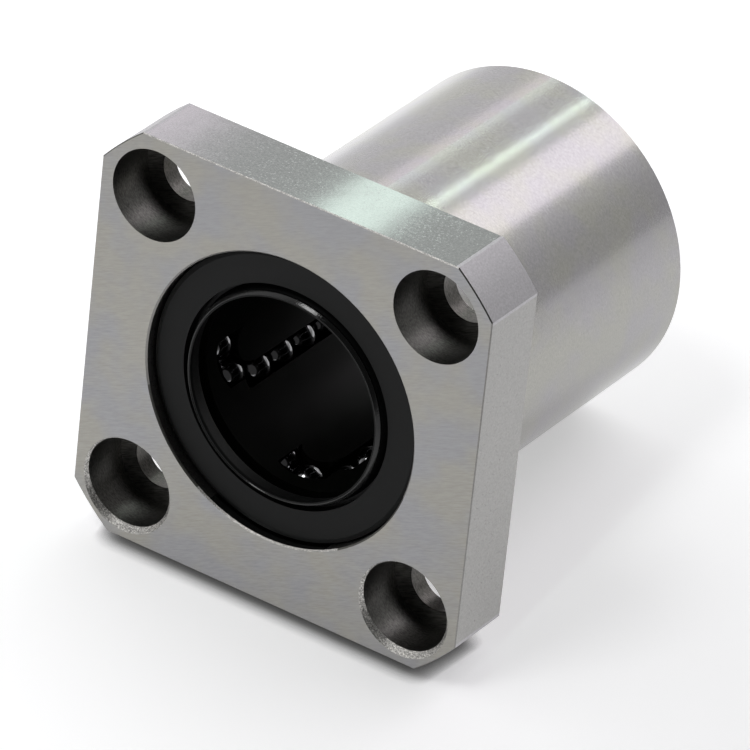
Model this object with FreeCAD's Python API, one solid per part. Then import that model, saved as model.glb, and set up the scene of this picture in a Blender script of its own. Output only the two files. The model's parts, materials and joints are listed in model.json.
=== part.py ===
import FreeCAD, Part
import math
import os

# A square flange linear ball bearing for a 20 mm shaft, sealed at both ends.
# All lengths are in millimetres and all angles in degrees.
# The shaft's axis is Y. The flange seats on the plane Y = 0, its front face looks along -Y,
# the barrel runs along +Y, and the four flats of the flange face +X, -X, +Z and -Z.

# Sizes of the running parts: shaft, balls and the steel that they run on
SHAFT_DIAMETER = 20.0
BALL_DIAMETER = 3.572
BALL_GAP = 0.03
CIRCUIT_COUNT = 5
FIRST_LOAD_ROW_ANGLE = -78.0
BALLS_IN_EACH_TURN = 3
TURN_LIFT = 0.42
RETURN_RELIEF = 0.878
LAND_ANGLE = 26.0
RAMP_LENGTH = 1.0
RAMP_SETBACK = 0.9
ROW_SHIFTS = (0.75, -0.2, 0.8, -0.6, -0.7)

# Sizes of the flanged sleeve
BARREL_WALL = 1.55
OVERALL_LENGTH = 42.0
BARREL_END_CHAMFER = 0.5
FLANGE_THICKNESS = 7.3
FLANGE_FRONT_BREAK = 0.1
FLANGE_REAR_CHAMFER = 0.15
MOUTH_CHAMFER = 0.15

# Sizes of the screw holes, and the steel left round them, which makes the bolt circle 43 mm and the flange
# 54 mm turned and 42 mm across its flats
BOLT_COUNT = 4
BOLT_HOLE_DIAMETER = 5.5
COUNTERBORE_DIAMETER = 9.0
COUNTERBORE_DEPTH = 5.4
COUNTERBORE_TO_BORE = 2.55
COUNTERBORE_TO_RIM = 1.0
COUNTERBORE_TO_FLAT = 1.2972

# The rims of the lower two counterbores are broken by hand, more at the bottom than at the top
RIM_BREAK = 0.3
RIM_BREAK_DROP = 0.25

# Sizes of the ball retainer
RETAINER_SHAFT_CLEARANCE = 0.25
RETAINER_SLEEVE_CLEARANCE = 0.15
BALL_CLEARANCE = 0.1
TRACK_STEP_DEPTH = 1.0
RETAINER_END_WALL = 0.4
RETAINER_END_PLAY = 0.06

# Sizes of the retaining rings that hold the retainer in
RING_THICKNESS = 1.0
RING_HEIGHT = 1.75
RING_GROOVE_DEPTH = 0.5
RING_CLEARANCE = 0.04
RING_OPENING_ANGLE = 34.0

# Sizes of the rubber end seals
SEAL_RECESS = 1.0
SEAL_SHOULDER_RADIUS = 0.6
SEAL_SEAT_CLEARANCE = 0.02
SEAL_FACE_WIDTH = 2.75
SEAL_GROOVE_WIDTH = 0.3
SEAL_GROOVE_DEPTH = 1.1
LIP_RISE = 0.55
LIP_LAND_LENGTH = 0.35
LIP_EDGE_WIDTH = 0.12
LIP_UNDERCUT = 0.32

# Places worked out from the sizes
origin = FreeCAD.Vector(0, 0, 0)
along_shaft = FreeCAD.Vector(0, 1, 0)
front_y = -FLANGE_THICKNESS
rear_y = OVERALL_LENGTH - FLANGE_THICKNESS
middle_y = (front_y + rear_y) / 2

ball_radius = BALL_DIAMETER / 2
shaft_radius = SHAFT_DIAMETER / 2
track_radius = ball_radius + BALL_CLEARANCE
load_row_radius = shaft_radius + ball_radius
land_radius = shaft_radius + BALL_DIAMETER
end_bore_radius = land_radius + RETURN_RELIEF
barrel_radius = end_bore_radius + BARREL_WALL
return_row_radius = end_bore_radius - RETAINER_SLEEVE_CLEARANCE / 2 - ball_radius

bolt_circle_radius = end_bore_radius + COUNTERBORE_TO_BORE + COUNTERBORE_DIAMETER / 2
first_bolt_angle = 180.0 / BOLT_COUNT
bolt_side = bolt_circle_radius * math.sin(math.radians(first_bolt_angle))
flange_radius = bolt_circle_radius + COUNTERBORE_DIAMETER / 2 + COUNTERBORE_TO_RIM
half_across_flats = bolt_side + COUNTERBORE_DIAMETER / 2 + COUNTERBORE_TO_FLAT

ball_pitch = BALL_DIAMETER + BALL_GAP
turn_step_angle = 180.0 / BALLS_IN_EACH_TURN
turn_radius = ball_pitch / (2 * math.sin(math.radians(turn_step_angle / 2)))
circuit_angle = 360.0 / CIRCUIT_COUNT

# The seal, the ring and the end play take the same length at both ends, and the rest is the retainer's
end_stack = SEAL_RECESS + SEAL_GROOVE_DEPTH + LIP_EDGE_WIDTH + RING_THICKNESS + 3 * RING_CLEARANCE
retainer_room = OVERALL_LENGTH - 2 * (end_stack + RETAINER_END_PLAY)
turn_length = turn_radius + track_radius + RETAINER_END_WALL
balls_in_row = int((retainer_room - 2 * turn_length) / ball_pitch)
row_length = balls_in_row * ball_pitch
row_start_y = middle_y - row_length / 2
row_end_y = middle_y + row_length / 2
retainer_start_y = front_y + end_stack + RETAINER_END_PLAY
retainer_end_y = rear_y - end_stack - RETAINER_END_PLAY

# Each turn lies in a plane lifted off the shaft, through a point over the load row and the return row
turn_entry_radius = load_row_radius + TURN_LIFT
row_separation = 2 * turn_radius
return_angle_cosine = (turn_entry_radius**2 + return_row_radius**2 - row_separation**2) / (
    2 * turn_entry_radius * return_row_radius)
return_angle = math.degrees(math.acos(return_angle_cosine))


def across(radius, angle, y=0.0):
    """A point at a radius and an angle about the shaft's axis, the angle going from +X towards +Z."""
    a = math.radians(angle)
    return FreeCAD.Vector(radius * math.cos(a), y, radius * math.sin(a))


def rod(radius, start_y, end_y, x=0.0, z=0.0):
    """A cylinder along the shaft's direction."""
    return Part.makeCylinder(radius, end_y - start_y, FreeCAD.Vector(x, start_y, z), along_shaft)


def cone(start_radius, end_radius, start_y, end_y, x=0.0, z=0.0):
    """A cone frustum along the shaft's direction."""
    return Part.makeCone(start_radius, end_radius, end_y - start_y, FreeCAD.Vector(x, start_y, z), along_shaft)


def prism(points, depth):
    """A closed outline of points, pushed along the vector depth."""
    return Part.Face(Part.makePolygon(points + points[:1])).extrude(depth)


def pie(radius, middle_angle, opening_angle, start_y, end_y):
    """A slice of a cylinder, centred on an angle about the shaft's axis."""
    reach = 2 * radius
    corners = [FreeCAD.Vector(0, start_y, 0)]
    for share in (-0.5, 0.0, 0.5):
        corners.append(across(reach, middle_angle + share * opening_angle, start_y))
    wedge = prism(corners, along_shaft * (end_y - start_y))
    return wedge.common(rod(radius, start_y, end_y))


def turned(profile):
    """A solid turned about the shaft's axis from a list of points (radius, y)."""
    points = [FreeCAD.Vector(radius, y, 0) for radius, y in profile]
    return Part.Face(Part.makePolygon(points + points[:1])).revolve(origin, along_shaft, 360)


def at_circuit(shape, number):
    """A copy of a shape made for the first ball circuit, turned round to another one."""
    copy = shape.copy()
    copy.rotate(origin, FreeCAD.Vector(0, -1, 0), number * circuit_angle)
    return copy


def mirrored_end(shape):
    """A copy of a shape made for the front end, flipped to the rear end."""
    return shape.mirror(FreeCAD.Vector(0, middle_y, 0), along_shaft)


def load_row_angle(number):
    return FIRST_LOAD_ROW_ANGLE + number * circuit_angle


def turn_frame():
    """The middle, the sideways direction and the outward normal of the first circuit's turn plane."""
    entry = across(turn_entry_radius, load_row_angle(0))
    exit_point = across(return_row_radius, load_row_angle(0) - return_angle)
    sideways = (exit_point - entry).normalize()
    outward = sideways.cross(along_shaft)
    if outward.dot(entry) < 0:
        outward = outward * -1
    return (entry + exit_point) * 0.5, sideways, outward


# The flange, the barrel and everything ground or drilled into them
def make_flange():
    """The flange: a turned disc with four flats milled on it, its edges broken."""
    disc = rod(flange_radius, front_y, 0)
    half = half_across_flats
    square = Part.makeBox(2 * half, FLANGE_THICKNESS, 2 * half, FreeCAD.Vector(-half, front_y, -half))
    plate = disc.common(square)
    for edge_y, size in ((front_y, FLANGE_FRONT_BREAK), (0.0, FLANGE_REAR_CHAMFER)):
        rim = [e for e in plate.Edges if all(abs(v.Point.y - edge_y) < 1e-6 for v in e.Vertexes)]
        plate = plate.makeChamfer(size, rim)
    return plate


def make_barrel():
    """The ground barrel, which runs into the flange and has a chamfer at its rear end."""
    chamfer_y = rear_y - BARREL_END_CHAMFER
    chamfer = cone(barrel_radius, barrel_radius - BARREL_END_CHAMFER, chamfer_y, rear_y)
    return rod(barrel_radius, front_y + FLANGE_THICKNESS / 2, chamfer_y).fuse(chamfer)


def screw_hole_cut():
    """One counterbored screw hole, on the shaft's axis."""
    hole = BOLT_HOLE_DIAMETER / 2
    head = COUNTERBORE_DIAMETER / 2
    shelf_y = front_y + COUNTERBORE_DEPTH
    return rod(head, front_y, shelf_y).fuse(rod(hole, shelf_y, 0))


def rim_break_cut():
    """The broken rim of a lower counterbore: a cone that is dropped a little from the hole's centre."""
    head = COUNTERBORE_DIAMETER / 2
    depth = RIM_BREAK + RIM_BREAK_DROP
    return cone(head + RIM_BREAK, head + RIM_BREAK - depth, front_y, front_y + depth, 0, -RIM_BREAK_DROP)


def ring_groove_cut():
    """The groove for the front retaining ring."""
    start = front_y + end_stack - RING_THICKNESS - 2 * RING_CLEARANCE
    return rod(end_bore_radius + RING_GROOVE_DEPTH, start, start + RING_THICKNESS + 2 * RING_CLEARANCE)


def end_bore_cut():
    """The front end of the bore: mouth chamfer, seal seat, ball turning space and the ramp to the lands."""
    ramp_start = row_start_y + RAMP_SETBACK
    bore = rod(end_bore_radius, front_y, ramp_start)
    mouth = cone(end_bore_radius + MOUTH_CHAMFER, end_bore_radius, front_y, front_y + MOUTH_CHAMFER)
    ramp = cone(end_bore_radius, land_radius, ramp_start, ramp_start + RAMP_LENGTH)
    return bore.fuse([mouth, ramp, ring_groove_cut()])


def make_sleeve():
    """The flanged sleeve with five load lands inside and five return grooves between them."""
    sleeve = make_flange().fuse(make_barrel())
    cuts = [rod(land_radius, front_y, rear_y), end_bore_cut(), mirrored_end(end_bore_cut())]
    groove_start = row_start_y + RAMP_SETBACK - BALL_CLEARANCE
    groove_end = row_end_y - RAMP_SETBACK + BALL_CLEARANCE
    for number in range(CIRCUIT_COUNT):
        groove_angle = load_row_angle(number) - circuit_angle / 2
        groove_opening = circuit_angle - LAND_ANGLE
        cuts.append(pie(end_bore_radius, groove_angle, groove_opening, groove_start, groove_end))
    for number in range(BOLT_COUNT):
        place = across(bolt_circle_radius, first_bolt_angle + number * 360 / BOLT_COUNT)
        cuts.append(screw_hole_cut().translated(place))
        if place.z < 0:
            cuts.append(rim_break_cut().translated(place))
    return sleeve.cut(cuts).removeSplitter()


# The ball retainer: one moulded cage with five closed ball tracks
def straight_track_cut(row_radius, angle, start_y, end_y):
    """A round-bottomed track along the shaft, open outwards."""
    centre = across(row_radius, angle, start_y)
    outward = across(1, angle)
    side = outward.cross(along_shaft) * track_radius
    reach = outward * (end_bore_radius - row_radius + BALL_DIAMETER)
    run = along_shaft * (end_y - start_y)
    opening = prism([centre - side, centre + side, centre + side + reach, centre - side + reach], run)
    return opening.fuse(rod(track_radius, start_y, end_y, centre.x, centre.z))


def turn_cut(half_width, floor_level, top_level):
    """Half a ring about the middle of the front turn, between two levels of the turn plane."""
    middle, sideways, outward = turn_frame()
    centre = middle + along_shaft * row_start_y + outward * floor_level
    outer = turn_radius + half_width
    inner = turn_radius - half_width
    outer_arc = Part.Arc(centre - sideways * outer, centre - along_shaft * outer, centre + sideways * outer)
    inner_arc = Part.Arc(centre + sideways * inner, centre - along_shaft * inner, centre - sideways * inner)
    ends = [
        Part.LineSegment(centre + sideways * outer, centre + sideways * inner),
        Part.LineSegment(centre - sideways * inner, centre - sideways * outer)]
    wire = Part.Wire([outer_arc.toShape(), ends[0].toShape(), inner_arc.toShape(), ends[1].toShape()])
    return Part.Face(wire).extrude(outward * (top_level - floor_level))


def circuit_cut():
    """Everything that the first ball circuit takes out of the retainer."""
    load_angle = load_row_angle(0)
    overrun = track_radius
    load = straight_track_cut(load_row_radius, load_angle, row_start_y - overrun, row_end_y + overrun)
    back = straight_track_cut(return_row_radius, load_angle - return_angle, row_start_y, row_end_y)
    floor_half_width = math.sqrt(track_radius**2 - TRACK_STEP_DEPTH**2)
    turn = turn_cut(track_radius, -TRACK_STEP_DEPTH, BALL_DIAMETER)
    turn_floor = turn_cut(floor_half_width, -track_radius, -TRACK_STEP_DEPTH)
    front = turn.fuse(turn_floor)
    return load.fuse([back, front, mirrored_end(front)])


def make_retainer():
    """The cage: clear of the lands where they are, and filling the return grooves between them."""
    outer = end_bore_radius - RETAINER_SLEEVE_CLEARANCE
    low = land_radius - RETAINER_SLEEVE_CLEARANCE
    bore = shaft_radius + RETAINER_SHAFT_CLEARANCE
    margin = math.degrees(RETAINER_SLEEVE_CLEARANCE / land_radius)
    cage = rod(outer, retainer_start_y, retainer_end_y)
    cuts = [rod(bore, retainer_start_y, retainer_end_y)]
    circuit = circuit_cut()
    for number in range(CIRCUIT_COUNT):
        land = pie(barrel_radius, load_row_angle(number), LAND_ANGLE + 2 * margin, retainer_start_y, retainer_end_y)
        cuts.append(land.cut(rod(low, retainer_start_y, retainer_end_y)))
        cuts.append(at_circuit(circuit, number))
    return cage.cut(cuts).removeSplitter()


# The end pieces: one seal and one retaining ring at each end
def make_front_seal():
    """The front seal: a flat face with a rounded shoulder, a groove, and a lip that wipes the shaft."""
    seat = end_bore_radius - SEAL_SEAT_CLEARANCE
    face_y = front_y + SEAL_RECESS
    back_y = front_y + end_stack - RING_THICKNESS - 2 * RING_CLEARANCE
    face_inner = seat - SEAL_SHOULDER_RADIUS - SEAL_FACE_WIDTH
    groove_y = face_y + SEAL_GROOVE_DEPTH
    groove_inner = face_inner - SEAL_GROOVE_WIDTH
    tip_y = face_y - LIP_RISE
    tip_outer = shaft_radius + LIP_EDGE_WIDTH
    undercut = shaft_radius + LIP_UNDERCUT
    shoulder = seat - SEAL_SHOULDER_RADIUS
    profile = [(seat, back_y)]
    for angle in (0, 45, 90):
        rise = SEAL_SHOULDER_RADIUS * (1 - math.sin(math.radians(angle)))
        profile.append((shoulder + SEAL_SHOULDER_RADIUS * math.cos(math.radians(angle)), face_y + rise))
    profile += [
        (face_inner, face_y), (face_inner, groove_y), (groove_inner, groove_y),
        (tip_outer, tip_y), (shaft_radius, tip_y), (shaft_radius, tip_y + LIP_LAND_LENGTH),
        (undercut, back_y)]
    return turned(profile)


def make_front_ring():
    """The front retaining ring: a flat open ring sprung into its groove."""
    start = front_y + end_stack - RING_THICKNESS - RING_CLEARANCE
    outer = end_bore_radius + RING_GROOVE_DEPTH - RING_CLEARANCE
    ring = rod(outer, start, start + RING_THICKNESS)
    ring = ring.cut(rod(outer - RING_HEIGHT, start, start + RING_THICKNESS))
    return ring.cut(pie(2 * outer, 90, RING_OPENING_ANGLE, start, start + RING_THICKNESS))


# The balls: each row and each turn of a circuit is one node of separate balls
def make_ball():
    """A ball at the origin as a geodesic solid of 80 flat faces with every corner on the true ball.

    One corner points along +Z and one along -Z, where the ball touches the shaft and the land.
    """
    ring_z = 1 / math.sqrt(5)
    ring_reach = 2 / math.sqrt(5)
    fifth = 2 * math.pi / 5
    corners = [FreeCAD.Vector(0, 0, 1)]
    for offset, z in ((0, ring_z), (fifth / 2, -ring_z)):
        for step in range(5):
            a = fifth * step + offset
            corners.append(FreeCAD.Vector(ring_reach * math.cos(a), ring_reach * math.sin(a), z))
    corners.append(FreeCAD.Vector(0, 0, -1))
    triangles = []
    for step in range(5):
        upper, next_upper = 1 + step, 1 + (step + 1) % 5
        lower, next_lower = 6 + step, 6 + (step + 1) % 5
        triangles += [
            (0, upper, next_upper), (upper, lower, next_upper),
            (next_upper, lower, next_lower), (lower, 11, next_lower)]
    faces = []
    for first, second, third in triangles:
        a, b, c = corners[first], corners[second], corners[third]
        ab, bc, ca = (a + b).normalize(), (b + c).normalize(), (c + a).normalize()
        for small in ((a, ab, ca), (ab, b, bc), (ca, bc, c), (ab, bc, ca)):
            points = [p * ball_radius for p in small]
            faces.append(Part.Face(Part.makePolygon(points + points[:1])))
    shell = Part.Shell(faces)
    shell.sewShape()
    return Part.Solid(shell)


def ball_at(centre, outward):
    """A ball at a point, with one corner along the outward direction."""
    turn = FreeCAD.Rotation(FreeCAD.Vector(0, 0, 1), outward)
    ball = master_ball.copy()
    ball.Placement = FreeCAD.Placement(centre, turn)
    return ball


def row_balls(row_radius, angle, shift):
    """The balls of one straight row, moved along it by a shift."""
    balls = []
    for place in range(balls_in_row):
        y = row_start_y + (place + 0.5) * ball_pitch + shift
        balls.append(ball_at(across(row_radius, angle, y), across(1, angle)))
    return Part.makeCompound(balls)


def turn_balls(centre_y, end_sign, shift):
    """The balls of one turn of the first circuit, moved round it by the same shift as the rows."""
    middle, sideways, outward = turn_frame()
    centre = middle + along_shaft * centre_y
    balls = []
    for place in range(BALLS_IN_EACH_TURN):
        angle = (place + 0.5 + end_sign * shift / ball_pitch) * turn_step_angle
        a = math.radians(angle)
        offset = sideways * (-turn_radius * math.cos(a)) + along_shaft * (end_sign * turn_radius * math.sin(a))
        balls.append(ball_at(centre + offset, outward))
    return Part.makeCompound(balls)


master_ball = make_ball()

nodes = {
    "flanged_sleeve": make_sleeve(),
    "ball_retainer": make_retainer(),
    "front_retaining_ring": make_front_ring(),
    "rear_retaining_ring": mirrored_end(make_front_ring()),
    "front_seal": make_front_seal(),
    "rear_seal": mirrored_end(make_front_seal()),
}
for number in range(CIRCUIT_COUNT):
    shift = ROW_SHIFTS[number % len(ROW_SHIFTS)]
    name = str(number + 1)
    load_angle = load_row_angle(number)
    nodes["load_balls_" + name] = row_balls(load_row_radius, load_angle, shift)
    nodes["return_balls_" + name] = row_balls(return_row_radius, load_angle - return_angle, -shift)
    nodes["front_turn_balls_" + name] = at_circuit(turn_balls(row_start_y, -1, shift), number)
    nodes["rear_turn_balls_" + name] = at_circuit(turn_balls(row_end_y, 1, shift), number)

os.makedirs("parts", exist_ok=True)
for name, shape in nodes.items():
    shape.exportStep("parts/" + name + ".step")
    print(name, "solids", len(shape.Solids), "volume", round(shape.Volume, 2), "valid", shape.isValid())

middle, sideways, outward = turn_frame()
print("balls in a row", balls_in_row, "pitch", round(ball_pitch, 4), "turn radius", round(turn_radius, 4))
print("return angle", round(return_angle, 4), "row start", round(row_start_y, 4), "row end", round(row_end_y, 4))
print("turn middle", middle, "sideways", sideways, "outward", outward)
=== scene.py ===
# %% [markdown]
# A square flange linear bearing, dressed for a studio photograph.
# The real part is a ground steel sleeve that slides along a 20 mm shaft on five closed loops of
# steel balls. A black plastic cage keeps the balls in their loops and a rubber seal shuts each end.
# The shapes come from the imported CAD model, which is loaded first and never moved. This script adds
# what a CAD solid can't show: grinding marks, burred edges, greasy rubber, true round balls and
# light.

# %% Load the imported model
import json
import math

import bmesh
import bpy
from mathutils import Matrix, Vector

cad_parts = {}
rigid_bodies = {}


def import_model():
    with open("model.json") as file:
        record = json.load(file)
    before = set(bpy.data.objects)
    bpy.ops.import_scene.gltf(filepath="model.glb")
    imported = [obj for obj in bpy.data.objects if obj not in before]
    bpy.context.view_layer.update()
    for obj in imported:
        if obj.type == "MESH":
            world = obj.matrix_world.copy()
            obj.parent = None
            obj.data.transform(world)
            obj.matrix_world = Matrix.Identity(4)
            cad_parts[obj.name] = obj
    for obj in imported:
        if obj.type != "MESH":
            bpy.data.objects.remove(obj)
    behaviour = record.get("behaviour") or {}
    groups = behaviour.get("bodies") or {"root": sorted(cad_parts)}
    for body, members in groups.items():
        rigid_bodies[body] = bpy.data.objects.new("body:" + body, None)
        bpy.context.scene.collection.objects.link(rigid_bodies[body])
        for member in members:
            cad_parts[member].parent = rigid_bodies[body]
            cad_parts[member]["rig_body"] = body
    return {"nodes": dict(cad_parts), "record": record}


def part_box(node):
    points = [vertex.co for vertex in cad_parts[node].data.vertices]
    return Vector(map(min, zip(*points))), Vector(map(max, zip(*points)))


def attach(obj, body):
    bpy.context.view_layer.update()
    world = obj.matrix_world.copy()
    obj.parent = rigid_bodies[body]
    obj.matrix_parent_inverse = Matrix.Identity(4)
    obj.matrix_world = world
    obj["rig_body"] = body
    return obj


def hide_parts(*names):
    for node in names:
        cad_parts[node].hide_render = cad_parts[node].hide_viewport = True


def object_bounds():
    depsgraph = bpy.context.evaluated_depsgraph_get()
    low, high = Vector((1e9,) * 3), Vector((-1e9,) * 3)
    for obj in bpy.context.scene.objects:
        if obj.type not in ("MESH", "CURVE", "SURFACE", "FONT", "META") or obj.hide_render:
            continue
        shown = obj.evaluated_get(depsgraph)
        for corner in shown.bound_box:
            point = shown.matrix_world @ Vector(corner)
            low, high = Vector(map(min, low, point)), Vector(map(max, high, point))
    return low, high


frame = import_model()
cad_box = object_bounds()
nodes = frame["nodes"]
scene = bpy.context.scene

# %% [markdown]
# Blender works in metres, and drawings of machine parts are in millimetres. One factor turns a
# drawing size into a Blender size, so that every size below reads as it would on a drawing.
# The main sizes are taken from the frame: its box, and the mounts that the record states.

# %% Millimetres, and the sizes read from the frame
MM = 0.001

low, high = (corner / MM for corner in cad_box)
front_y, rear_y, half_across_flats = low.y, high.y, high.x
mounts = {mount["name"]: mount["dims"] for mount in frame["record"]["mounts"]}
shaft_radius = mounts["shaft_bore"]["r_mm"]
barrel_radius = mounts["spigot"]["r_mm"]
screw_side = mounts["bolt_circle"]["pcd_mm"] / 2 * math.sin(math.radians(45))
seal_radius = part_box("front_seal")[1].x / MM
print("front", round(front_y, 2), "rear", round(rear_y, 2), "half flats", round(half_across_flats, 2))
print("shaft", shaft_radius, "barrel", barrel_radius, "seal", round(seal_radius, 2))
print("screw holes at", round(screw_side, 3))

# %% [markdown]
# Colours are given as sRGB hex values, but light adds up in linear values. One function
# turns the first into the second, and every colour in this file goes through it.

# %% Colours
def colour(hex_value):
    """An sRGB hex colour as linear red, green, blue and alpha."""
    channels = [int(hex_value[place:place + 2], 16) / 255 for place in (1, 3, 5)]
    linear = [c / 12.92 if c <= 0.04045 else ((c + 0.055) / 1.055) ** 2.4 for c in channels]
    return (*linear, 1.0)


print("sRGB #808080 in linear light:", round(colour("#808080")[0], 3))

# %% [markdown]
# A material is a graph of nodes. Written out in full, each node takes four or five lines, so one
# helper adds a node, sets its properties, and fills its inputs: an input that is given another node,
# or one of its outputs, is linked, and an input that is given a value is set.
# Some nodes, such as Mix, have outputs for several kinds of value and switch on only one of them,
# so a second helper finds the output that is switched on.

# %% The node helper
def live_output(node):
    """The first output of a node that its settings leave switched on."""
    return next(socket for socket in node.outputs if socket.enabled)


def add(tree, kind, inputs=None, **settings):
    """Adds one node to a tree: settings are its properties, inputs its sockets by name or number."""
    node = tree.nodes.new("ShaderNode" + kind)
    for key, value in settings.items():
        setattr(node, key, value)
    for key, value in (inputs or {}).items():
        if isinstance(value, bpy.types.Node):
            value = live_output(value)
        if isinstance(value, bpy.types.NodeSocket):
            tree.links.new(value, node.inputs[key])
        else:
            node.inputs[key].default_value = value
    return node


print("node helpers:", live_output.__name__, add.__name__)

# %% [markdown]
# Each finish is one material, named for what the real surface is and how it was made. A number that
# is the same all over a surface is set on the shader itself. Noise gives the numbers that vary, and
# nearly all of a noise's values lie between 0.3 and 0.7, so those two are the ends of most ranges.

# %% Finishes, and the nodes that wear them
NOISE_LOW, NOISE_HIGH = 0.3, 0.7


def new_finish(name, plain_values):
    """A node material named for a real finish, with plain values set on its shader."""
    material = bpy.data.materials.new(name)
    material.use_nodes = True
    shader = material.node_tree.nodes["Principled BSDF"]
    for socket_name, value in plain_values.items():
        shader.inputs[socket_name].default_value = value
    return material, material.node_tree, shader


def wear(material, *node_names):
    """Gives CAD nodes a finish."""
    for name in node_names:
        nodes[name].data.materials.clear()
        nodes[name].data.materials.append(material)
    print(material.name, "on", ", ".join(node_names))


print("noise is read from", NOISE_LOW, "to", NOISE_HIGH)

# %% [markdown]
# The sleeve is bearing steel (a chromium steel, hardened) and each of its surfaces was made in
# another way, which is what tells the eye that it is a machined part:
#   - the front face is surface ground: satin, with fine scratches that all run one way;
#   - the barrel is ground round: its scratches run round it, and long lamps show as stripes on it;
#   - the side flats are milled and then hardened, a little smoother than the face;
#   - the top flat is finished the finest, almost a mirror, with tiny raised specks that sparkle;
#   - the corner arcs are what is left of the turned rim;
#   - the screw holes are drilled and counterbored, painted darker inside as shade, with rings left by
#     the cutter;
#   - the broken edges show as thin lines with painted light in their colour, a highlight broken by
#     real burrs along the top and shade at the upper corners, and crumbs of metal cling to the hole
#     rims.
# One material can do all of this if it asks where on the sleeve it is. Splitting the mesh would work
# too, but the mesh belongs to the CAD model. A surface is found by its distance from the shaft or
# from the nearest screw hole, in millimetres, and by which way it faces.

# %% Where on the sleeve: places and directions
steel, tree, shader = new_finish("ground_bearing_steel", {"Metallic": 1.0})

spot = add(tree, "TexCoord")
place = add(tree, "VectorMath", {0: spot.outputs["Object"], "Scale": 1 / MM}, operation="SCALE")
along_y = add(tree, "SeparateXYZ", {0: place}).outputs["Y"]
cross_place = add(tree, "VectorMath", {0: place, 1: (1, 0, 1)}, operation="MULTIPLY")
shaft_distance = add(tree, "VectorMath", {0: cross_place}, operation="LENGTH")
# Four holes are folded onto one, because the flange is the same left and right, up and down.
folded = add(tree, "VectorMath", {0: cross_place}, operation="ABSOLUTE")
from_hole = add(
    tree, "VectorMath", {0: folded, 1: (screw_side, 0, screw_side)}, operation="SUBTRACT")
hole_distance = add(tree, "VectorMath", {0: from_hole}, operation="LENGTH")
facing = add(tree, "SeparateXYZ", {0: spot.outputs["Normal"]})
facing_up = facing.outputs["Z"]
end_facing = add(tree, "Math", {0: facing.outputs["Y"]}, operation="ABSOLUTE")
print("nodes for the place:", len(tree.nodes))

# %% Where on the sleeve: faces, sides, edges and barrel
# Levels say how straight a surface faces an end of the bearing, or up, from 0 to 1.
FACE_LEVEL = 0.95
SIDE_LEVEL = 0.4
BARREL_START = -0.1
SEAT_EDGE = -0.02

is_face = add(tree, "Math", {0: end_facing, 1: FACE_LEVEL}, operation="GREATER_THAN")
is_side = add(tree, "Math", {0: end_facing, 1: SIDE_LEVEL}, operation="LESS_THAN")
face_or_side = add(tree, "Math", {0: is_face, 1: is_side}, operation="ADD")
is_edge = add(tree, "Math", {0: 1.0, 1: face_or_side}, operation="SUBTRACT")
behind_seat = add(tree, "Math", {0: along_y, 1: BARREL_START}, operation="GREATER_THAN")
before_seat = add(tree, "Math", {0: along_y, 1: SEAT_EDGE}, operation="LESS_THAN")
is_barrel = add(tree, "Math", {0: behind_seat, 1: is_side}, operation="MULTIPLY")
print("a surface is a face above", FACE_LEVEL, "and a side below", SIDE_LEVEL)

# %% Where on the sleeve: screw holes, rim and top
COUNTERBORE_REACH = 5.1
SCREW_HOLE_REACH = 2.9
FACE_SKIN = 0.01
RIM_START = 26.8
TOP_LEVEL = 0.9
LIT_TOP_EDGE_LEVEL = 0.6
SHADED_CORNER_EDGE_LEVEL = 0.2

near_hole = add(tree, "Math", {0: hole_distance, 1: COUNTERBORE_REACH}, operation="LESS_THAN")
below_face = add(tree, "Math", {0: along_y, 1: front_y + FACE_SKIN}, operation="GREATER_THAN")
is_hole = add(tree, "Math", {0: near_hole, 1: below_face}, operation="MULTIPLY")
is_hole = add(tree, "Math", {0: is_hole, 1: before_seat}, operation="MULTIPLY")
in_screw_hole = add(tree, "Math", {0: hole_distance, 1: SCREW_HOLE_REACH}, operation="LESS_THAN")
is_hole_rim = add(tree, "Math", {0: near_hole, 1: before_seat}, operation="MULTIPLY")
is_rim = add(tree, "Math", {0: shaft_distance, 1: RIM_START}, operation="GREATER_THAN")
is_top = add(tree, "Math", {0: facing_up, 1: TOP_LEVEL}, operation="GREATER_THAN")
# These masks pick the top edges, which get a painted highlight, and the edges that face partly up at
# the upper corners, which get painted shade.
is_lit_top_edge = add(tree, "Math", {0: facing_up, 1: LIT_TOP_EDGE_LEVEL}, operation="GREATER_THAN")
is_lit_top_edge = add(tree, "Math", {0: is_lit_top_edge, 1: before_seat}, operation="MULTIPLY")
is_shaded_corner_edge = add(tree, "Math", {0: facing_up, 1: SHADED_CORNER_EDGE_LEVEL}, operation="GREATER_THAN")
is_shaded_corner_edge = add(tree, "Math", {0: is_shaded_corner_edge, 1: before_seat}, operation="MULTIPLY")
print("counterbore reach", COUNTERBORE_REACH, "mm, rim from", RIM_START, "mm")

# %% [markdown]
# Scratches are noise that is squeezed across and stretched along. Real grit leaves marks about
# 0.03 mm wide, which is finer than a pixel of this picture, so they are drawn as 0.12 mm wide.
# The face's scratches are long, because the wheel passes straight over it. The barrel turns under
# the wheel and the wheel's grains touch it only for a moment, so its scratches are short.
# The flats have a grain with no direction, about 0.18 mm across. On the top flat only its highest
# peaks stand out, as specks, and they lie in patches that follow the slow change of tint.

# %% Scratches and tints
FACE_GRAIN_ANGLE = 23.0
GRAIN_WIDTH = 0.12
FACE_GRAIN_LENGTH = 1.1
ROUND_GRAIN_LENGTH = 0.28
TINT_SIZE = 6.0

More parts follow.
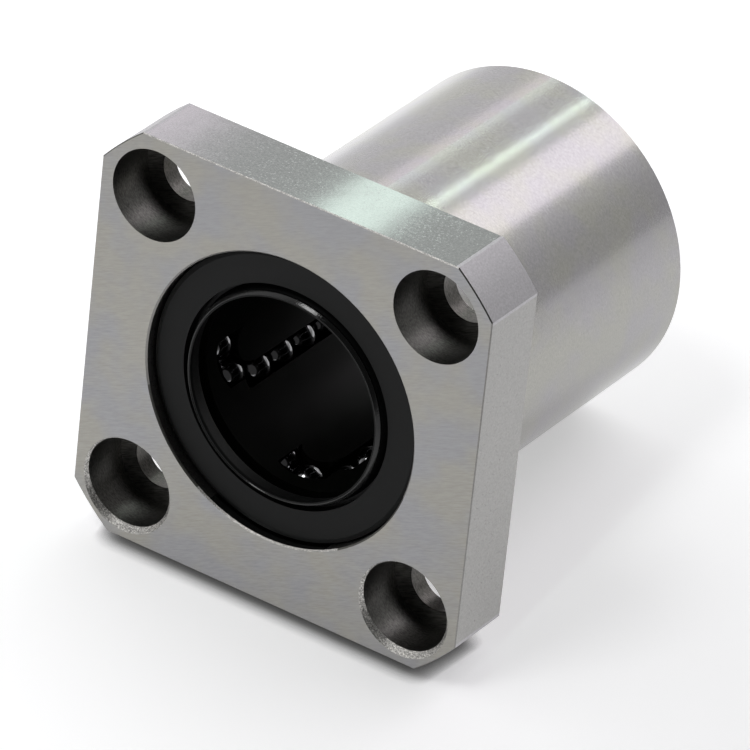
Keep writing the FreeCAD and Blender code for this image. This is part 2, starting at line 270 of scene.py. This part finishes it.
turned_place = add(tree, "VectorRotate", {
    "Vector": place, "Angle": math.radians(FACE_GRAIN_ANGLE)}, rotation_type="Y_AXIS")
face_stretch = (1 / FACE_GRAIN_LENGTH, 1 / FACE_GRAIN_LENGTH, 1 / GRAIN_WIDTH)
face_lines = add(tree, "VectorMath", {0: turned_place, 1: face_stretch}, operation="MULTIPLY")
face_grain = add(tree, "TexNoise", {
    "Vector": face_lines, "Scale": 1.0, "Detail": 3.0, "Roughness": 0.6})
round_stretch = (1 / ROUND_GRAIN_LENGTH, 1 / GRAIN_WIDTH, 1 / ROUND_GRAIN_LENGTH)
round_lines = add(tree, "VectorMath", {0: place, 1: round_stretch}, operation="MULTIPLY")
round_grain = add(tree, "TexNoise", {
    "Vector": round_lines, "Scale": 1.0, "Detail": 3.0, "Roughness": 0.6})
tint = add(tree, "TexNoise", {
    "Vector": place, "Scale": 1 / TINT_SIZE, "Detail": 2.0, "Roughness": 0.6})
print("scratches", GRAIN_WIDTH, "mm wide, tints", TINT_SIZE, "mm across")

# %% Specks and crumbs
SPECK_SIZE = 0.18
# Noise below this level lies flat, so a higher level leaves fewer specks.
DENSE_SPECKS, SPARSE_SPECKS = 0.6, 0.7
PATCH_LOW, PATCH_HIGH = 0.38, 0.62
CRUMB_LOW, CRUMB_HIGH = 0.4, 0.6

specks = add(tree, "TexNoise", {
    "Vector": place, "Scale": 1 / SPECK_SIZE, "Detail": 2.0, "Roughness": 0.5})
speck_level = add(tree, "MapRange", {
    "Value": tint, "From Min": PATCH_LOW, "From Max": PATCH_HIGH,
    "To Min": DENSE_SPECKS, "To Max": SPARSE_SPECKS})
raised_specks = add(tree, "Math", {0: specks, 1: speck_level}, operation="MAXIMUM")
crumb_noise = add(tree, "TexNoise", {"Vector": place, "Scale": 1 / GRAIN_WIDTH, "Detail": 2.0})
crumb_share = add(tree, "MapRange", {
    "Value": crumb_noise, "From Min": CRUMB_LOW, "From Max": CRUMB_HIGH})
print("specks", SPECK_SIZE, "mm across, crumbs", GRAIN_WIDTH, "mm")

# %% [markdown]
# Bare steel is grey, a little warm where a thin film of oil stays on it and a little cool where it
# was wiped. Two tones a few steps apart are mixed by the slow tint. The barrel's colour is also
# darkened as it turns down: this is painted shade, for the shadowed floor that its underside mirrors.

# %% The steel's colours, surface by surface
WARM_FACE, COOL_FACE = colour("#A09E98"), colour("#9B9B9D")
WARM_BARREL, COOL_BARREL = colour("#B5B4AE"), colour("#B3B1B3")
TOP_COLOUR, SIDE_COLOUR, RIM_COLOUR = colour("#9A9D9B"), colour("#A6A5A3"), colour("#B6B4B7")
COUNTERBORE_SHADED_COLOUR, SCREW_HOLE_SHADED_COLOUR = colour("#6F6E6B"), colour("#5E5C59")
TINT_LOW, TINT_HIGH = 0.4, 0.6
UNDERSIDE_SHADE_SHARE = 0.5
SHADE_FULL_LEVEL, SHADE_FREE_LEVEL = -0.65, 0.45

tint_share = add(tree, "MapRange", {"Value": tint, "From Min": TINT_LOW, "From Max": TINT_HIGH})
face_colour = add(
    tree, "Mix", {0: tint_share, 6: WARM_FACE, 7: COOL_FACE}, data_type="RGBA")
barrel_colour = add(
    tree, "Mix", {0: tint_share, 6: WARM_BARREL, 7: COOL_BARREL}, data_type="RGBA")
# Painted shade: the barrel's colour falls off towards its underside.
painted_underside_shade = add(tree, "MapRange", {
    "Value": facing_up, "From Min": SHADE_FULL_LEVEL, "From Max": SHADE_FREE_LEVEL,
    "To Min": UNDERSIDE_SHADE_SHARE, "To Max": 1.0})
barrel_colour = add(tree, "VectorMath", {0: barrel_colour, "Scale": painted_underside_shade}, operation="SCALE")
base = add(tree, "Mix", {0: is_top, 6: SIDE_COLOUR, 7: TOP_COLOUR}, data_type="RGBA")
base = add(tree, "Mix", {0: is_rim, 6: base, 7: RIM_COLOUR}, data_type="RGBA")
base = add(tree, "Mix", {0: is_barrel, 6: base, 7: barrel_colour}, data_type="RGBA")
base = add(tree, "Mix", {0: is_face, 6: base, 7: face_colour}, data_type="RGBA")
# Painted shade: the counterbores and screw holes get darker colours than the face, darkest in the
# narrow screw hole.
hole_colour_and_shade = add(tree, "Mix", {
    0: in_screw_hole, 6: COUNTERBORE_SHADED_COLOUR, 7: SCREW_HOLE_SHADED_COLOUR}, data_type="RGBA")
base = add(tree, "Mix", {0: is_hole, 6: base, 7: hole_colour_and_shade}, data_type="RGBA")
print("the barrel's underside keeps", UNDERSIDE_SHADE_SHARE, "of its brightness")

# %% The colours of the broken edges, with painted highlight and shade
SIDE_EDGE, SHADED_CORNER_EDGE = colour("#93928F"), colour("#62615D")
LIT_TOP_EDGE, TOP_BURR_HIGHLIGHT = colour("#9E9D9A"), colour("#DDDBD7")
DULL_CRUMB, BRIGHT_CRUMB = colour("#979592"), colour("#D6D4D0")

# Painted light: upper corner edges are darkened as shade, and top edges are lightened as a highlight
# broken by burrs.
edge_colour_and_light = add(
    tree, "Mix", {0: is_shaded_corner_edge, 6: SIDE_EDGE, 7: SHADED_CORNER_EDGE}, data_type="RGBA")
lit_top_edge = add(tree, "Mix", {0: crumb_share, 6: LIT_TOP_EDGE, 7: TOP_BURR_HIGHLIGHT}, data_type="RGBA")
edge_colour_and_light = add(tree, "Mix", {0: is_lit_top_edge, 6: edge_colour_and_light, 7: lit_top_edge}, data_type="RGBA")
crumbs = add(tree, "Mix", {0: crumb_share, 6: DULL_CRUMB, 7: BRIGHT_CRUMB}, data_type="RGBA")
edge_colour_and_light = add(tree, "Mix", {0: is_hole_rim, 6: edge_colour_and_light, 7: crumbs}, data_type="RGBA")
base = add(tree, "Mix", {0: is_edge, 6: base, 7: edge_colour_and_light}, data_type="RGBA")
print("edges: dull at the corners, bright along the top, crumbled round the holes")

# %% Scratches in the colour
FAINT_CONTRAST, HOLE_CONTRAST = 0.11, 0.5

round_zone = add(tree, "Math", {0: is_barrel, 1: is_hole}, operation="MAXIMUM")
grain = add(tree, "Mix", {0: round_zone, 2: specks, 3: round_grain}, data_type="FLOAT")
grain = add(tree, "Mix", {0: is_face, 2: grain, 3: face_grain}, data_type="FLOAT")
contrast = add(tree, "MapRange", {
    "Value": is_hole, "To Min": FAINT_CONTRAST, "To Max": HOLE_CONTRAST})
centred = add(tree, "MapRange", {
    "Value": grain, "From Min": NOISE_LOW, "From Max": NOISE_HIGH, "To Min": -1.0, "To Max": 1.0})
shade = add(tree, "Math", {0: centred, 1: contrast, 2: 1.0}, operation="MULTIPLY_ADD")
shaded = add(tree, "VectorMath", {0: base, "Scale": shade}, operation="SCALE")
tree.links.new(live_output(shaded), shader.inputs["Base Color"])
print("scratches change the colour by", FAINT_CONTRAST, "and in the holes by", HOLE_CONTRAST)

# %% [markdown]
# Roughness says how wide a lamp's reflection spreads. A ground barrel keeps a lamp as a stripe with
# soft sides, the face turns it into an even satin, and the top flat mirrors it almost whole.
# The scratches are a few thousandths of a millimetre deep, and the specks stand a little higher.

# %% The steel's gloss and relief
FACE_ROUGHNESS = 0.42
BARREL_ROUGHNESS = 0.19
FLAT_ROUGHNESS = 0.3
RIM_ROUGHNESS = 0.34
HOLE_ROUGHNESS = 0.38
EDGE_ROUGHNESS = 0.45
TOP_ROUGHNESS = 0.07
STREAK_LOW, STREAK_HIGH = 0.9, 1.1
SCRATCH_DEPTH = 0.003
SPECK_HEIGHT = 0.014

gloss = add(tree, "Mix", {0: is_top, 2: FLAT_ROUGHNESS, 3: TOP_ROUGHNESS}, data_type="FLOAT")
gloss = add(tree, "Mix", {0: is_rim, 2: gloss, 3: RIM_ROUGHNESS}, data_type="FLOAT")
gloss = add(tree, "Mix", {0: is_barrel, 2: gloss, 3: BARREL_ROUGHNESS}, data_type="FLOAT")
gloss = add(tree, "Mix", {0: is_face, 2: gloss, 3: FACE_ROUGHNESS}, data_type="FLOAT")
gloss = add(tree, "Mix", {0: is_hole, 2: gloss, 3: HOLE_ROUGHNESS}, data_type="FLOAT")
gloss = add(tree, "Mix", {0: is_edge, 2: gloss, 3: EDGE_ROUGHNESS}, data_type="FLOAT")
streaked = add(tree, "MapRange", {
    "Value": grain, "From Min": NOISE_LOW, "From Max": NOISE_HIGH,
    "To Min": STREAK_LOW, "To Max": STREAK_HIGH})
rough = add(tree, "Math", {0: gloss, 1: streaked}, operation="MULTIPLY")
tree.links.new(live_output(rough), shader.inputs["Roughness"])
height = add(tree, "Mix", {0: is_top, 2: grain, 3: raised_specks}, data_type="FLOAT")
depth = add(
    tree, "Mix", {0: is_top, 2: SCRATCH_DEPTH * MM, 3: SPECK_HEIGHT * MM}, data_type="FLOAT")
relief = add(tree, "Bump", {"Height": height, "Strength": 1.0, "Distance": depth})
tree.links.new(live_output(relief), shader.inputs["Normal"])
wear(steel, "flanged_sleeve")

# %% [markdown]
# The other finishes are plainer: one noise, measured in millimetres, moves the roughness, and on
# rubber it is the relief too. Each could be written out, but they would differ only in numbers. So
# one function makes them, and gives back the noise for a finish that needs it for its colour.

# %% A finish with a fine texture
def textured_finish(
        name, plain_values, texture_size, fine_layers, noise_range, roughness_range, depth=0.0):
    """A finish whose roughness, and relief if it has a depth, follow a noise. Sizes are in mm."""
    material, tree, shader = new_finish(name, plain_values)
    spot = add(tree, "TexCoord")
    place = add(tree, "VectorMath", {0: spot.outputs["Object"], "Scale": 1 / MM}, operation="SCALE")
    texture = add(tree, "TexNoise", {
        "Vector": place, "Scale": 1 / texture_size, "Detail": fine_layers})
    rough = add(tree, "MapRange", {
        "Value": texture, "From Min": noise_range[0], "From Max": noise_range[1],
        "To Min": roughness_range[0], "To Max": roughness_range[1]})
    tree.links.new(live_output(rough), shader.inputs["Roughness"])
    if depth:
        relief = add(tree, "Bump", {"Height": texture, "Strength": 1.0, "Distance": depth * MM})
        tree.links.new(live_output(relief), shader.inputs["Normal"])
    return material, texture


print("finishes so far:", len(bpy.data.materials))

# %% [markdown]
# The seals are nitrile rubber, moulded in a fine-textured die: a deep grey-black with a soft sheen.
# Rubber is no metal, so its colour is its own and its gloss is white. Its gloss is weaker than that
# of a hard plastic, because the die's texture scatters it. The texture is 0.17 mm across.

# %% Nitrile rubber
DIE_TEXTURE_SIZE = 0.17
DIE_TEXTURE_DEPTH = 0.004
RUBBER_ROUGHNESS = 0.42, 0.52
RUBBER_SHEEN_LEVEL = 0.17

rubber, _ = textured_finish(
    "nitrile_rubber", {"Base Color": colour("#0E0F0F"), "Specular IOR Level": RUBBER_SHEEN_LEVEL},
    texture_size=DIE_TEXTURE_SIZE, fine_layers=3.0, noise_range=(NOISE_LOW, NOISE_HIGH),
    roughness_range=RUBBER_ROUGHNESS, depth=DIE_TEXTURE_DEPTH)
wear(rubber, "front_seal", "rear_seal")

# %% [markdown]
# The lip's edge is bevelled on both sides, and it is wet with the grease that the bearing is packed
# with. Each bevel mirrors a lamp as a short bright streak, which a solid's sharp edge can't do. So a
# thin bead is laid along each lip. It is turned like a pot: one profile is carried round the shaft.
# A torus would be shorter to write, but a round bead shrinks the streak to less than a pixel.

# %% Greased lip rubber
WRINKLE_SIZE = 0.14
WRINKLE_DEPTH = 0.007
GREASED_ROUGHNESS = 0.05, 0.18
GREASE_SHEEN_LEVEL = 0.5

greased, _ = textured_finish(
    "greased_lip_rubber",
    {"Base Color": colour("#0B0C0C"), "Specular IOR Level": GREASE_SHEEN_LEVEL},
    texture_size=WRINKLE_SIZE, fine_layers=2.0, noise_range=(NOISE_LOW, NOISE_HIGH),
    roughness_range=GREASED_ROUGHNESS, depth=WRINKLE_DEPTH)
print(greased.name, "wrinkles", WRINKLE_SIZE, "mm wide")

# %% The lip beads
# Each point is a distance out from the shaft and a rise towards the open end, in millimetres.
BEAD_PROFILE = [
    (0.02, -0.40), (0.02, -0.17), (0.035, -0.12), (0.155, 0.025), (0.18, 0.05), (0.21, 0.05),
    (0.24, 0.02), (0.46, -0.24), (0.49, -0.29), (0.50, -0.35), (0.48, -0.45)]
BEAD_TURNS = 240
LIP_TIP = 0.45


def lip_bead(name, seal_node, tip_y, outward):
    """A thin turned bead along a seal's lip, riding on the seal's body."""
    points, faces = [], []
    count = len(BEAD_PROFILE)
    for turn in range(BEAD_TURNS):
        around = 2 * math.pi * turn / BEAD_TURNS
        for side, (reach, rise) in enumerate(BEAD_PROFILE):
            radius = shaft_radius + reach
            points.append((
                radius * math.cos(around) * MM,
                (tip_y + outward * rise) * MM,
                radius * math.sin(around) * MM))
            if side:
                here, along = turn * count + side, (turn + 1) % BEAD_TURNS * count + side
                face = (here - 1, here, along, along - 1)
                # The front bead is a mirror image, so its corners go round the other way.
                faces.append(face if outward > 0 else face[::-1])
    mesh = bpy.data.meshes.new(name)
    mesh.from_pydata(points, [], faces)
    mesh.shade_smooth()
    mesh.materials.append(greased)
    bead = bpy.data.objects.new(name, mesh)
    scene.collection.objects.link(bead)
    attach(bead, nodes[seal_node]["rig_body"])
    print(name, "faces:", len(faces))


lip_bead("front_lip_bead", "front_seal", front_y + LIP_TIP, -1)
lip_bead("rear_lip_bead", "rear_seal", rear_y - LIP_TIP, 1)

# %% [markdown]
# The cage is acetal, an engineering plastic that is moulded smooth and is slippery even when dry.
# It is black here and deep inside the bore, so little more than a faint sheen shows. A film of
# grease lies on it in patches about 2 mm across.

# %% Moulded acetal
GREASE_PATCH_SIZE = 2.0
ACETAL_ROUGHNESS = 0.3, 0.38
ACETAL_SHEEN_LEVEL = 0.12

acetal, _ = textured_finish(
    "moulded_acetal", {"Base Color": colour("#080907"), "Specular IOR Level": ACETAL_SHEEN_LEVEL},
    texture_size=GREASE_PATCH_SIZE, fine_layers=3.0, noise_range=(NOISE_LOW, NOISE_HIGH),
    roughness_range=ACETAL_ROUGHNESS)
wear(acetal, "ball_retainer")

# %% [markdown]
# The retaining rings are spring steel with a phosphate coat, which keeps rust off and holds oil. The
# coat is a skin of tiny crystals that scatters light, so the rings are dull and dark grey. Crystals
# are about 0.01 mm across, too fine for the picture, so they are drawn ten times as coarse.

# %% Phosphated spring steel
PHOSPHATE_GRAIN = 0.1
DARK_PHOSPHATE, LIGHT_PHOSPHATE = colour("#434345"), colour("#525254")
CRYSTAL_LOW, CRYSTAL_HIGH = 0.35, 0.65
COAT_ROUGHNESS = 0.44, 0.56

spring, crystals = textured_finish(
    "phosphated_spring_steel", {"Metallic": 1.0},
    texture_size=PHOSPHATE_GRAIN, fine_layers=3.0, noise_range=(CRYSTAL_LOW, CRYSTAL_HIGH),
    roughness_range=COAT_ROUGHNESS)
tree = spring.node_tree
share = add(tree, "MapRange", {
    "Value": crystals, "From Min": CRYSTAL_LOW, "From Max": CRYSTAL_HIGH})
coat = add(tree, "Mix", {0: share, 6: DARK_PHOSPHATE, 7: LIGHT_PHOSPHATE}, data_type="RGBA")
tree.links.new(live_output(coat), tree.nodes["Principled BSDF"].inputs["Base Color"])
wear(spring, "front_retaining_ring", "rear_retaining_ring")

# %% [markdown]
# A bearing ball is lapped between iron plates until it is round to a thousandth of a millimetre and
# bright as a mirror. Oil lies on it in patches about a millimetre across, which blur the mirror a
# little. The CAD model has flat-sided balls, to keep its file small, so each group of them is
# replaced here by true round ones on the same body, at places read from the CAD node.

# %% Lapped ball steel
OIL_PATCH_SIZE = 1.2
OIL_LOW, OIL_HIGH = 0.35, 0.65
LAPPED_ROUGHNESS = 0.07, 0.13

lapped, _ = textured_finish(
    "lapped_ball_steel", {"Base Color": colour("#8A8A8C"), "Metallic": 1.0},
    texture_size=OIL_PATCH_SIZE, fine_layers=2.0, noise_range=(OIL_LOW, OIL_HIGH),
    roughness_range=LAPPED_ROUGHNESS)
print(lapped.name, "oil patches", OIL_PATCH_SIZE, "mm across")

# %% Where the balls are
WELD_DISTANCE = 0.001


def ball_centres(node_name):
    """The centre and radius of each ball in a CAD node, in metres."""
    shape = bmesh.new()
    shape.from_mesh(nodes[node_name].data)
    bmesh.ops.remove_doubles(shape, verts=shape.verts, dist=WELD_DISTANCE * MM)
    found, balls = set(), []
    # One ball is all the corners that can be reached from each other along edges. They are taken in
    # the mesh's own order, because a set's order would change from run to run.
    for first in shape.verts:
        if first in found:
            continue
        found.add(first)
        corners = [first]
        for corner in corners:
            for edge in corner.link_edges:
                neighbour = edge.other_vert(corner)
                if neighbour not in found:
                    found.add(neighbour)
                    corners.append(neighbour)
        centre = sum((corner.co for corner in corners), Vector()) / len(corners)
        balls.append((centre, (corners[0].co - centre).length))
    shape.free()
    return balls


print("balls in the first load row:", len(ball_centres("load_balls_1")))

# %% True round balls
BALL_SPLITS = 3


def true_balls(node_name):
    """Round balls in place of the CAD node's flat-sided ones, riding on the same body."""
    shape = bmesh.new()
    for centre, radius in ball_centres(node_name):
        bmesh.ops.create_icosphere(
            shape, subdivisions=BALL_SPLITS, radius=radius, matrix=Matrix.Translation(centre))
    mesh = bpy.data.meshes.new("round_" + node_name)
    shape.to_mesh(mesh)
    shape.free()
    mesh.shade_smooth()
    mesh.materials.append(lapped)
    balls = bpy.data.objects.new("round_" + node_name, mesh)
    scene.collection.objects.link(balls)
    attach(balls, nodes[node_name]["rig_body"])
    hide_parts(node_name)


ball_nodes = sorted(name for name in nodes if "balls" in name)
for name in ball_nodes:
    true_balls(name)
print("ball groups:", len(ball_nodes))

# %% [markdown]
# The camera looks down on the flange from the front, a little from the right, through a long lens,
# so the square stays nearly square. Its place is given as a direction and a distance from a point
# near the middle of the part, which are easier to adjust than three coordinates.

# %% Camera
VIEW_AZIMUTH = 31.089
VIEW_ELEVATION = 31.297
VIEW_ROLL = -6.215
VIEW_DISTANCE = 864.935
AIM_POINT = Vector((2.201, 5.071, -1.869))
LENS_MM = 460.8
SENSOR_MM = 36.0
CLIP_NEAR, CLIP_FAR = 100.0, 10000.0

azimuth, elevation = math.radians(VIEW_AZIMUTH), math.radians(VIEW_ELEVATION)
to_camera = Vector((
    math.sin(azimuth) * math.cos(elevation),
    -math.cos(azimuth) * math.cos(elevation),
    math.sin(elevation)))
camera = bpy.data.objects.new("studio_camera", bpy.data.cameras.new("studio_camera"))
scene.collection.objects.link(camera)
camera.data.lens = LENS_MM
camera.data.sensor_width = SENSOR_MM
camera.data.clip_start = CLIP_NEAR * MM
camera.data.clip_end = CLIP_FAR * MM
level = to_camera.to_track_quat("Z", "Y").to_matrix().to_4x4()
roll = Matrix.Rotation(-math.radians(VIEW_ROLL), 4, "Z")
stand = Matrix.Translation((AIM_POINT + to_camera * VIEW_DISTANCE) * MM)
camera.matrix_world = stand @ level @ roll
scene.camera = camera
print("camera at", [round(value, 4) for value in camera.matrix_world.translation])

# %% [markdown]
# The part rests on the lower rear edge of its flange and on the far end of its barrel, so it tips
# back by the angle between them. The frame can't move, so the floor is tilted by that angle instead.

# %% The tilted floor
PAPER_LEFT, PAPER_RIGHT, PAPER_FRONT, PAPER_BACK = -260.0, 260.0, -200.0, 300.0
BARREL_END_CHAMFER = 0.5

front_rest = Vector((0, 0, -half_across_flats))
rear_rest = Vector((0, rear_y - BARREL_END_CHAMFER, -barrel_radius))
slope = math.atan2(rear_rest.z - front_rest.z, rear_rest.y - front_rest.y)
corners = [
    (PAPER_LEFT, PAPER_FRONT), (PAPER_RIGHT, PAPER_FRONT),
    (PAPER_RIGHT, PAPER_BACK), (PAPER_LEFT, PAPER_BACK)]
mesh = bpy.data.meshes.new("studio_floor")
mesh.from_pydata([(x * MM, y * MM, 0) for x, y in corners], [], [(0, 1, 2, 3)])
floor = bpy.data.objects.new("studio_floor", mesh)
scene.collection.objects.link(floor)
floor.matrix_world = Matrix.Translation(front_rest * MM) @ Matrix.Rotation(slope, 4, "X")
print("floor slope", round(math.degrees(slope), 2), "degrees")

# %% [markdown]
# The floor is white paper. Lit only by the lamps it would come out light grey, so it glows a little
# to the camera and in the steel's reflections, and still takes the part's shadow. The glow fades to
# the right, where the studio is darker, and far out on the left, where only the barrel mirrors it.
# Close to where the part touches the paper, light can hardly get in. Ambient occlusion measures
# that, and there it darkens the paper and takes away the glow.

# %% White backdrop paper
PAPER_COLOUR, CONTACT_SHADOW_COLOUR = colour("#F4F4F5"), colour("#4A4846")
PAPER_ROUGHNESS = 0.9
CONTACT_REACH = 1.7
CONTACT_POWER = 2.0
CONTACT_SAMPLES = 8

paper, tree, shader = new_finish("white_backdrop_paper", {
    "Roughness": PAPER_ROUGHNESS, "Emission Color": colour("#FFFFFF")})
open_share = add(
    tree, "AmbientOcclusion", {"Distance": CONTACT_REACH * MM}, samples=CONTACT_SAMPLES)
open_share = add(tree, "Math", {
    0: open_share.outputs["AO"], 1: CONTACT_POWER}, operation="POWER")
# Painted contact shadow: near the part, the paper's colour is darkened by the occlusion.
shaded = add(tree, "Mix", {0: open_share, 6: CONTACT_SHADOW_COLOUR, 7: PAPER_COLOUR}, data_type="RGBA")
tree.links.new(live_output(shaded), shader.inputs["Base Color"])
print("the part darkens the paper within", CONTACT_REACH, "mm")

# %% The paper's glow
PAPER_LIFT, PAPER_LIFT_RIGHT = 0.45, 0.03
FALL_START, FALL_END = -22.0, 110.0
LEFT_LIFT_SHARE = 0.4
LEFT_FALL_START, LEFT_FALL_END = -74.0, -105.0

ray = add(tree, "LightPath")
seen = add(tree, "Math", {
    0: ray.outputs["Is Camera Ray"], 1: ray.outputs["Is Glossy Ray"]}, operation="MAXIMUM")
seen = add(tree, "Math", {0: seen, 1: ray.outputs["Is Transmission Ray"]}, operation="MAXIMUM")
spot = add(tree, "TexCoord")
across_x = add(tree, "SeparateXYZ", {0: spot.outputs["Object"]}).outputs["X"]
strength = add(tree, "MapRange", {
    "Value": across_x, "From Min": FALL_START * MM, "From Max": FALL_END * MM,
    "To Min": PAPER_LIFT, "To Max": PAPER_LIFT_RIGHT}, interpolation_type="SMOOTHSTEP")
left_share = add(tree, "MapRange", {
    "Value": across_x, "From Min": LEFT_FALL_END * MM, "From Max": LEFT_FALL_START * MM,
    "To Min": LEFT_LIFT_SHARE, "To Max": 1.0}, interpolation_type="SMOOTHSTEP")
lift = add(tree, "Math", {0: seen, 1: strength}, operation="MULTIPLY")
lift = add(tree, "Math", {0: lift, 1: left_share}, operation="MULTIPLY")
lift = add(tree, "Math", {0: lift, 1: open_share}, operation="MULTIPLY")
tree.links.new(live_output(lift), shader.inputs["Emission Strength"])
floor.data.materials.append(paper)
print("paper glow", PAPER_LIFT, "fading to", PAPER_LIFT_RIGHT)

# %% [markdown]
# Steel shows its surroundings more than itself. The part stands in a white tent, which is the world
# here: even white overhead, greyer in the right rear corner, and nearly dark on the side where the
# photographer stands. The grey corner is the dark band on the barrel's right side.

# %% The tent
ROOF_STRENGTH = 0.84
CORNER_STRENGTH = 0.48
ROOM_STRENGTH = 0.08
DARK_CORNER = Vector((0.674, 0.732, 0.095))
CORNER_START, CORNER_END = 0.8, 1.0
ROOM_START, ROOM_END = 0.3, 0.8

world = bpy.data.worlds.new("white_tent")
scene.world = world
world.use_nodes = True
tree = world.node_tree
background = tree.nodes["Background"]
spot = add(tree, "TexCoord")
corner_side = add(
    tree, "VectorMath", {0: spot.outputs["Generated"], 1: DARK_CORNER}, operation="DOT_PRODUCT")
share = add(tree, "MapRange", {
    "Value": corner_side, "From Min": CORNER_START, "From Max": CORNER_END,
    "To Min": ROOF_STRENGTH, "To Max": CORNER_STRENGTH}, interpolation_type="SMOOTHSTEP")
camera_side = add(
    tree, "VectorMath", {0: spot.outputs["Generated"], 1: to_camera}, operation="DOT_PRODUCT")
open_side = add(tree, "MapRange", {
    "Value": camera_side, "From Min": ROOM_START, "From Max": ROOM_END},
    interpolation_type="SMOOTHSTEP")
share = add(tree, "Mix", {0: open_side, 2: share, 3: ROOM_STRENGTH}, data_type="FLOAT")
tree.links.new(live_output(share), background.inputs["Strength"])
background.inputs["Color"].default_value = colour("#FFFFFF")
scene.view_settings.view_transform = "Standard"
print("tent", ROOF_STRENGTH, "corner", CORNER_STRENGTH, "room", ROOM_STRENGTH)

# %% [markdown]
# Long lamps that run the same way as the shaft show as long stripes on the barrel, so each is placed
# by its angle round the shaft's axis. A mirrored ray runs back along the shaft as well as across it,
# so each lamp's middle stands further back the further off it is. Two of them hang nearer, where the
# top flat mirrors them: one is the bright patch right of its middle, the other its rosy left end.
# The key lamp is square and far off, high up and a little to the front left. It lights the face and
# throws the soft shadow.
# Lamps are described by the brightness of their surface, and a lamp's power is that brightness
# times pi times its area. So a lamp can be made wider without the stripe growing brighter.

# %% How a lamp is hung
# The camera's direction has 0.732 of its length along the shaft and 0.681 across it.
BACK_PER_ACROSS = 0.732 / 0.681


def hang(name, size_x, size_y, radiance, hex_value):
    """A rectangular lamp of a given surface brightness, hidden from the camera."""
    lamp = bpy.data.lights.new(name, "AREA")
    lamp.shape = "RECTANGLE"
    lamp.size = size_x * MM
    lamp.size_y = size_y * MM
    lamp.color = colour(hex_value)[:3]
    lamp.energy = radiance * math.pi * lamp.size * lamp.size_y
    holder = bpy.data.objects.new(name, lamp)
    scene.collection.objects.link(holder)
    holder.visible_camera = False
    print(name, "watts", round(lamp.energy, 3))
    return holder


def strip_lamp(name, angle, distance, width, length, radiance, hex_value):
    """A lamp parallel to the shaft, at an angle round it, facing the part."""
    away = Vector((math.cos(math.radians(angle)), 0, math.sin(math.radians(angle))))
    along = Vector((0, 1, 0))
    turn = Matrix((along.cross(away), along, away)).transposed().to_4x4()
    middle = (away * distance + along * distance * BACK_PER_ACROSS) * MM
    hang(name, width, length, radiance, hex_value).matrix_world = Matrix.Translation(middle) @ turn


def key_lamp(name, toward, distance, width, radiance, hex_value):
    """A square lamp in a direction from the part, facing it."""
    away = Vector(toward).normalized()
    turn = away.to_track_quat("Z", "Y").to_matrix().to_4x4()
    middle = away * distance * MM
    hang(name, width, width, radiance, hex_value).matrix_world = Matrix.Translation(middle) @ turn


print("a lamp's middle stands", round(BACK_PER_ACROSS, 3), "mm back for each mm across")

# %% The lamps
key_lamp(
    "key_lamp", toward=(-0.2, -0.43, 0.88), distance=900, width=220,
    radiance=8.4, hex_value="#FFFFFF")
strip_lamp(
    "wide_roof_lamp", angle=72.5, distance=500, width=270, length=1150,
    radiance=0.88, hex_value="#FFF6FF")
strip_lamp(
    "narrow_roof_lamp", angle=99.5, distance=500, width=10, length=1150,
    radiance=8.0, hex_value="#EAFFF0")
strip_lamp(
    "near_lamp", angle=123.9, distance=133, width=6, length=150,
    radiance=1.6, hex_value="#ECFFF6")
strip_lamp(
    "rose_panel", angle=134.1, distance=418, width=26, length=300,
    radiance=0.92, hex_value="#FFE8FC")

# %% [markdown]
# The last cell only says that the scene is done. The CAD model's box was measured after loading
# and gave the main sizes above.

# %% The end
print("the scene is dressed")
